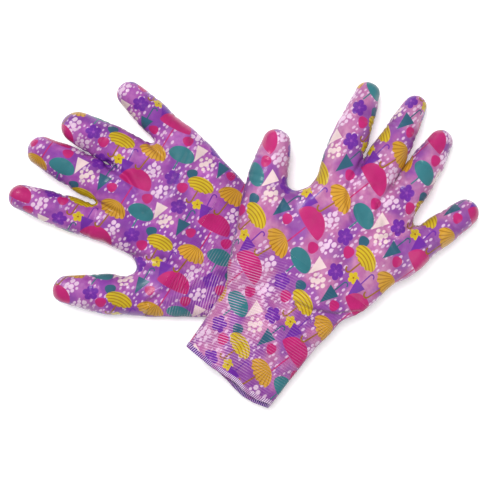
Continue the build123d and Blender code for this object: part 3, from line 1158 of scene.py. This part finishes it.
def make_cuff(glove, shape, end_ring, angles, materials):
    """The ribbed cuff, from the heel to a mouth that isn't level. Gives its wall without ribs as
    rings of points and normals, and which points of a ring lie on the upper layer."""
    side = glove["name"]
    count = len(angles)
    rows = int(CUFF_SPAN / RING_STEP) + 1
    level = np.full(count, -60.0)
    first = ray_to_skin(shape, shape.palm, angles, level)
    height, half = shape.section(level)[2:]
    upper = np.clip((first[:, 2] - height) / half * 2 + 0.5, 0, 1)
    stop = np.tile(mouth_edge(glove, first[:, 0], upper), rows)
    share = np.repeat(np.linspace(0, 1, rows), count)
    v = HEEL_START + share * (stop + 1.5 - HEEL_START)
    p, quads, flat_normal = sleeve(shape, shape.palm, angles, v)
    base = settle(rumple(glove, shape, cuff_sway(p, flat_normal), flat_normal))
    moved = ridges(base, flat_normal, 1)
    ease = np.clip(1 - share * CUFF_SPAN / CUFF_EASE, 0, 1)[:, None] ** 2
    pull = np.tile(end_ring - moved[:count], (rows, 1)) * ease
    cuff = knit_object(glove, f"{side}_glove_cuff", moved + pull, quads, flat_normal, materials)
    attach(cuff, f"{side}_hand")
    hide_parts(*[n for n in body_nodes(f"{side}_hand") if n.endswith("cuff_rib")])
    return (base + pull).reshape(rows, count, 3), flat_normal.reshape(rows, count, 3), upper


def make_hem(glove, edge, out, upper, around, materials):
    """The overlocked hem: a flat tube round the cuff's edge, with a swelling at each stitch."""
    side = glove["name"]
    spin = 2 * np.pi * np.arange(HEM_SIDES) / HEM_SIDES
    loop = []
    for turn in spin:
        a, b = math.cos(turn), math.sin(turn)
        reach = HEM_WIDTH / 2 * np.sign(a) * abs(a) ** 0.6
        thick = (WALL / 2 + HEM_THREAD) * np.sign(b) * abs(b) ** 0.6
        loop.append(edge - out * (WALL / 2) + DOWN * (reach - HEM_OVERLAP) + out * thick)
    ring = np.stack(loop, 1)[:, None]
    share = (np.arange(HEM_FINE) / HEM_FINE)[:, None, None]
    dense = (ring * (1 - share) + np.roll(ring, -1, 0) * share).reshape(-1, HEM_SIDES, 3)
    total = len(dense)
    stitch = np.arange(total) / total * around / STITCH
    pulse = np.sin(2 * np.pi * stitch)[:, None]
    middle = dense.mean(1, keepdims=True)
    dense = middle + (dense - middle) * (0.92 + 0.08 * pulse[:, :, None])
    dense[:, :, 1] += 0.175 * pulse * np.cos(spin)
    flat = dense.reshape(-1, 3)
    quads = tube_faces(total, HEM_SIDES, closed=True)
    quads = facing_out(quads, flat, np.repeat(middle[:, 0], HEM_SIDES, 0))
    normals = face_normals(flat, quads)
    flat = settle(flat)
    away = np.clip((flat[:, 0] + 20) / 14, 0, 1)
    fields = {"print_top": print_coordinates(glove, flat, normals)[0], "course": flat[:, 1],
              "stitch": np.repeat(stitch, HEM_SIDES), "upper": away * np.repeat(upper, HEM_FINE * HEM_SIDES)}
    hem = new_mesh(f"{side}_glove_hem", to_row(glove, flat), quads.tolist(), fields,
                   turn_to_row(glove, normals), [materials["hem"]])
    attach(hem, f"{side}_hand")
    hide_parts(*[n for n in body_nodes(f"{side}_hand") if n.endswith("cuff_hem")])


def make_elastic(glove, wall, out, materials):
    """Elastic yarns laid in the middle of the cuff's wall."""
    side = glove["name"]
    rows, count = wall.shape[:2]
    points, faces = [], []
    for k in range(ELASTIC_RINGS):
        row = int((ELASTIC_START + ELASTIC_PITCH * k) / CUFF_SPAN * (rows - 1))
        middle = wall[row] - out[row] * (WALL * 0.55)
        quads = tube_faces(ELASTIC_SIDES, count, closed=True)[:, [0, 3, 2, 1]]
        faces.append(quads + len(points) * count)
        for turn in np.linspace(0, 2 * np.pi, ELASTIC_SIDES, endpoint=False):
            points.append(middle + out[row] * 0.2 * math.cos(turn) + DOWN * 0.4 * math.sin(turn))
    yarn = new_mesh(f"{side}_glove_elastic", to_row(glove, np.concatenate(points)),
                    np.concatenate(faces).tolist(), {}, None, [materials["yarn"]])
    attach(yarn, f"{side}_hand")
    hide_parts(*[n for n in body_nodes(f"{side}_hand") if n.endswith("cuff_elastic")])


for glove in GLOVES:
    shape = Glove(glove)
    materials = make_materials(glove)
    hand_field = make_hand(glove, shape, materials)
    angles, around = ring_angles(shape, RING_POINTS)
    end_ring = make_heel(glove, shape, hand_field, angles, materials)
    wall, out, upper = make_cuff(glove, shape, end_ring, angles, materials)
    make_hem(glove, wall[-1], out[-1], upper, around, materials)
    make_elastic(glove, wall, out, materials)
    for digit in shape.digits:
        make_digit(glove, shape, digit, materials)

# ---- floor, lights, camera

floor_mesh = bpy.data.meshes.new("floor")
floor_mesh.from_pydata([(-4, -4, 0), (4, -4, 0), (4, 4, 0), (-4, 4, 0)], [], [(0, 1, 2, 3)])
floor = link_object("floor", floor_mesh)
pale, tree, shader = new_material("pale_floor")
set_inputs(tree, shader, {"Base Color": (0.95, 0.95, 0.95, 1), "Roughness": 0.9,
                          "Emission Color": (1, 1, 1, 1), "Emission Strength": 0.18})
floor_mesh.materials.append(pale)


def area_light(name, place, size, power, glossy):
    """A round lamp that looks at the gloves. If it isn't glossy, it gives no highlights."""
    data = bpy.data.lights.new(name, "AREA")
    data.shape = "DISK"
    data.size = size
    data.energy = power
    obj = link_object(name, data)
    obj.location = place
    obj.rotation_mode = "QUATERNION"
    obj.rotation_quaternion = (Vector((0, 0, 0.02)) - Vector(place)).to_track_quat("-Z", "Y")
    obj.visible_glossy = glossy


area_light("overhead", (-0.08, 0.14, 1.3), 0.5, 15.0, False)
area_light("key", (-0.5, 0.72, 1.0), 0.35, 4.5, True)
area_light("fill", (0.75, -0.4, 1.0), 0.8, 2.0, True)

world = bpy.data.worlds.new("studio")
world.use_nodes = True
world.node_tree.nodes["Background"].inputs[0].default_value = (1, 1, 1, 1)
world.node_tree.nodes["Background"].inputs[1].default_value = 0.2
bpy.context.scene.world = world
bpy.context.scene.view_settings.view_transform = "Standard"

VIEW_WIDTH = 0.3318  # of the picture, measured just over the table, m
camera_data = bpy.data.cameras.new("camera")
camera_data.lens = 100.0
camera_data.sensor_width = 36.0
camera = link_object("camera", camera_data)
camera.location = (0.00136, 0.00068, 0.018 + VIEW_WIDTH / 2 / (18.0 / camera_data.lens))
bpy.context.scene.camera = camera
